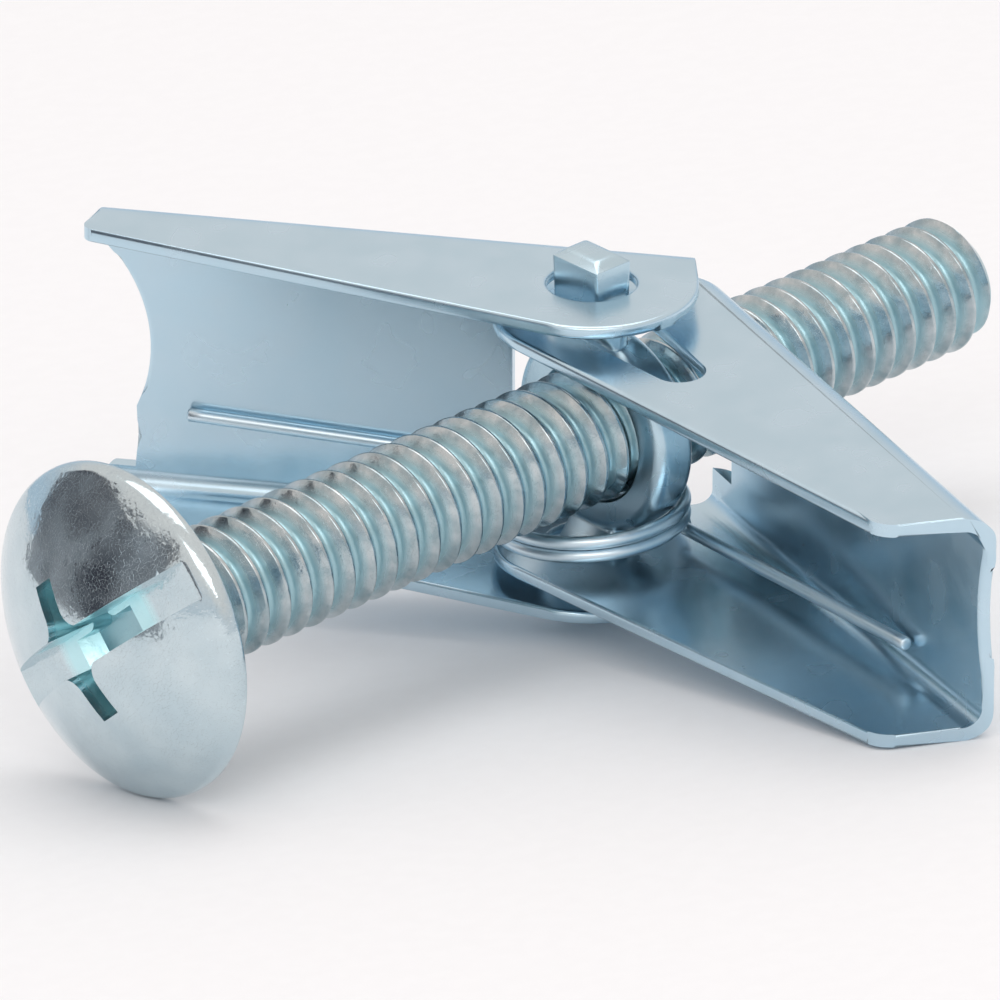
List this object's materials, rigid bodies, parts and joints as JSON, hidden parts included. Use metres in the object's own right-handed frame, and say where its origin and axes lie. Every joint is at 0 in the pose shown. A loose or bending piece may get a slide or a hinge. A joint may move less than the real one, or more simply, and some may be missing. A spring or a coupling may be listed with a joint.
{
  "type": "spring toggle bolt",
  "caption": "Truss head machine screw with a trunnion nut and two spring-loaded folding steel wings that anchor it behind a hollow wall.",
  "frame": {"origin": "on the screw's axis, on the plane of the head's underside", "axes": "+X along the screw from its head to its tip; +Z along the nut's trunnion stubs, about which both wings fold; +Y towards the outer wing"},
  "size_m": [0.0534, 0.0472, 0.0178],
  "materials": {
    "screw_plating": "bright bluish zinc plate, fine grained",
    "nut_plating": "bright bluish zinc plate",
    "wing_plating": "bright bluish zinc plate on rolled sheet",
    "spring_wire": "zinc plated spring wire"
  },
  "bodies": {
    "screw": {"screw": "screw_plating"},
    "nut": {"nut": "nut_plating", "spring": "spring_wire"},
    "outer_wing": {"outer_wing": "wing_plating"},
    "inner_wing": {"inner_wing": "wing_plating"}
  },
  "joints": [
    {"name": "nut_travel", "type": "slide", "parent": "screw", "child": "nut", "axis": [1, 0, 0], "range_m": [-0.0014, 0.018]},
    {"name": "outer_wing_fold", "type": "hinge", "parent": "nut", "child": "outer_wing", "pos_m": [0.0276, 0, 0], "axis": [0, 0, 1], "range_deg": [-35.5, 54.5], "stiffness_Nm_per_rad": 0.01, "deforming": ["spring"]},
    {"name": "inner_wing_fold", "type": "hinge", "parent": "nut", "child": "inner_wing", "pos_m": [0.0276, 0, 0], "axis": [0, 0, -1], "range_deg": [0, 72.5], "stiffness_Nm_per_rad": 0.01}
  ]
}
